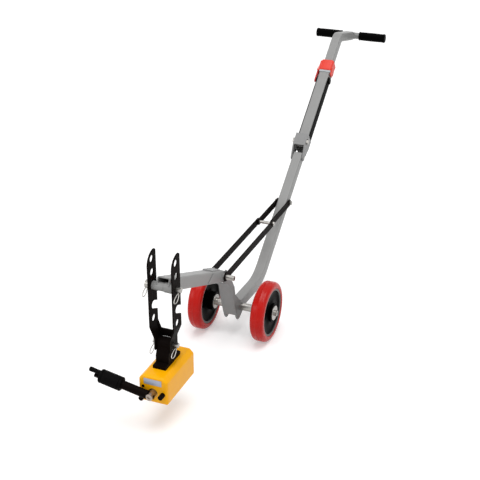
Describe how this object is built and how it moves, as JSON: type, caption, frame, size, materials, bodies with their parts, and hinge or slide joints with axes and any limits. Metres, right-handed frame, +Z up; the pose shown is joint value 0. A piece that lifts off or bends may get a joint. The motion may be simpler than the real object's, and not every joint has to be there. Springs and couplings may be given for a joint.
{
  "type": "magnetic manhole cover lifter",
  "caption": "Two-wheeled lever with a bent folding handle and a switchable lifting magnet hung in a height-adjustable fork, for lifting steel manhole covers.",
  "frame": {"origin": "on the floor plane under the middle of the wheel axle", "axes": "+X along the axle to the right, +Y towards the handle, -Y towards the magnet, +Z up"},
  "size_m": [0.3348, 1.8557, 0.7531],
  "materials": {
    "grey_paint": "satin powder coat",
    "black_paint": "satin powder coat",
    "zinc": "zinc plated",
    "tyre_red": "glossy polyurethane",
    "wheel_iron": "grey",
    "cover_black": "matte",
    "magnet_yellow": "semi gloss paint",
    "magnet_block": "nickel plated",
    "bush_brass": "turned",
    "label_silver": "satin, bare",
    "grip_rubber": "matte",
    "button_black": "satin",
    "sleeve_grey": "matte",
    "collar_red": "semi gloss",
    "lever_red": "semi gloss"
  },
  "bodies": {
    "chassis": {"axle": "zinc", "wheel_washers": "zinc", "axle_bolts": "zinc", "side_plate_left": "grey_paint", "side_plate_right": "grey_paint", "front_web": "grey_paint", "knuckle_sleeve": "grey_paint", "pivot_pin": "zinc", "arm_tube": "grey_paint", "arm_doubler": "grey_paint", "cross_tube": "grey_paint"},
    "wheel_left": {"tyre_left": "tyre_red", "wheel_core_left": "wheel_iron", "hub_covers_left": "cover_black", "bearings_left": "zinc"},
    "wheel_right": {"tyre_right": "tyre_red", "wheel_core_right": "wheel_iron", "hub_covers_right": "cover_black", "bearings_right": "zinc"},
    "lower_handle": {"lower_tube": "grey_paint", "axle_bush": "grey_paint", "strap_bolt": "zinc"},
    "strap_pair_lower": {"lower_straps": "black_paint", "knuckle_nuts": "zinc"},
    "strap_pair_upper": {"upper_straps": "black_paint", "knuckle_rod": "zinc"},
    "upper_handle": {"upper_tube": "grey_paint", "fold_bracket": "grey_paint", "bracket_bolt": "zinc", "fold_pin": "zinc", "side_guards": "cover_black", "mouth_sleeve": "sleeve_grey", "clamp_collar": "collar_red", "clamp_pin": "zinc"},
    "clamp": {"clamp_lever": "lever_red"},
    "telescope": {"inner_tube": "grey_paint", "t_bar": "grey_paint", "grip_left": "grip_rubber", "grip_right": "grip_rubber"},
    "fork": {"tine_left": "black_paint", "tine_right": "black_paint", "fork_web": "black_paint", "fork_pin": "zinc", "fork_pin_clips": "zinc", "lug_pin": "zinc", "lug_pin_clips": "zinc"},
    "magnet": {"magnet_lug": "black_paint", "magnet_housing": "magnet_yellow", "front_cover": "magnet_yellow", "rear_cover": "magnet_yellow", "cover_screws": "zinc", "shaft_bushes": "bush_brass", "lever_stops": "black_paint", "label_plate": "label_silver"},
    "switch": {"rotor_core": "wheel_iron", "rotor_magnets": "magnet_block", "rotor_shaft": "zinc", "lever_rod": "black_paint", "lever_grip": "grip_rubber"},
    "button": {"lock_button": "button_black"}
  },
  "joints": [
    {"name": "wheel_left_spin", "type": "hinge", "parent": "chassis", "child": "wheel_left", "pos_m": [-0.111, 0, 0.099], "axis": [1, 0, 0], "continuous": true},
    {"name": "wheel_right_spin", "type": "hinge", "parent": "chassis", "child": "wheel_right", "pos_m": [0.111, 0, 0.099], "axis": [1, 0, 0], "continuous": true},
    {"name": "handle_fold", "type": "hinge", "parent": "chassis", "child": "lower_handle", "pos_m": [0, 0, 0.099], "axis": [-1, 0, 0], "range_deg": [-108, 0]},
    {"name": "strap_lower_turn", "type": "hinge", "parent": "chassis", "child": "strap_pair_lower", "pos_m": [0, -0.14, 0.277], "axis": [-1, 0, 0], "range_deg": [-151.2, 0]},
    {"name": "strap_upper_turn", "type": "hinge", "parent": "lower_handle", "child": "strap_pair_upper", "pos_m": [0, 0.44654, 0.28507], "axis": [1, 0, 0], "range_deg": [-110, 0]},
    {"name": "handle_upper_fold", "type": "hinge", "parent": "lower_handle", "child": "upper_handle", "pos_m": [0, 0.59082, 0.40414], "axis": [1, 0, 0], "range_deg": [0, 115]},
    {"name": "telescope_slide", "type": "slide", "parent": "upper_handle", "child": "telescope", "axis": [0, 0.788, 0.6157], "range_m": [-0.085, 0.18]},
    {"name": "clamp_open", "type": "hinge", "parent": "upper_handle", "child": "clamp", "pos_m": [-0.029, 0.89964, 0.63908], "axis": [0, 0.6157, -0.788], "range_deg": [0, 100]},
    {"name": "fork_swing", "type": "hinge", "parent": "chassis", "child": "fork", "pos_m": [0, -0.50419, 0.41959], "axis": [1, 0, 0], "range_deg": [-60, 34]},
    {"name": "magnet_swing", "type": "hinge", "parent": "fork", "child": "magnet", "pos_m": [0, -0.50419, 0.24259], "axis": [1, 0, 0], "range_deg": [-30, 20]},
    {"name": "switch_turn", "type": "hinge", "parent": "magnet", "child": "switch", "pos_m": [0, -0.60969, 0.13159], "axis": [0, 1, 0], "range_deg": [0, 122]},
    {"name": "button_press", "type": "slide", "parent": "switch", "child": "button", "axis": [0.9833, 0, -0.1822], "range_m": [0, 0.008], "stiffness_N_per_m": 400, "springref_m": -0.002}
  ],
  "couplings": [
    {"joint": "strap_lower_turn", "follows": "handle_fold", "ratio": 1.3971},
    {"joint": "strap_upper_turn", "follows": "handle_fold", "ratio": 1.0159}
  ]
}
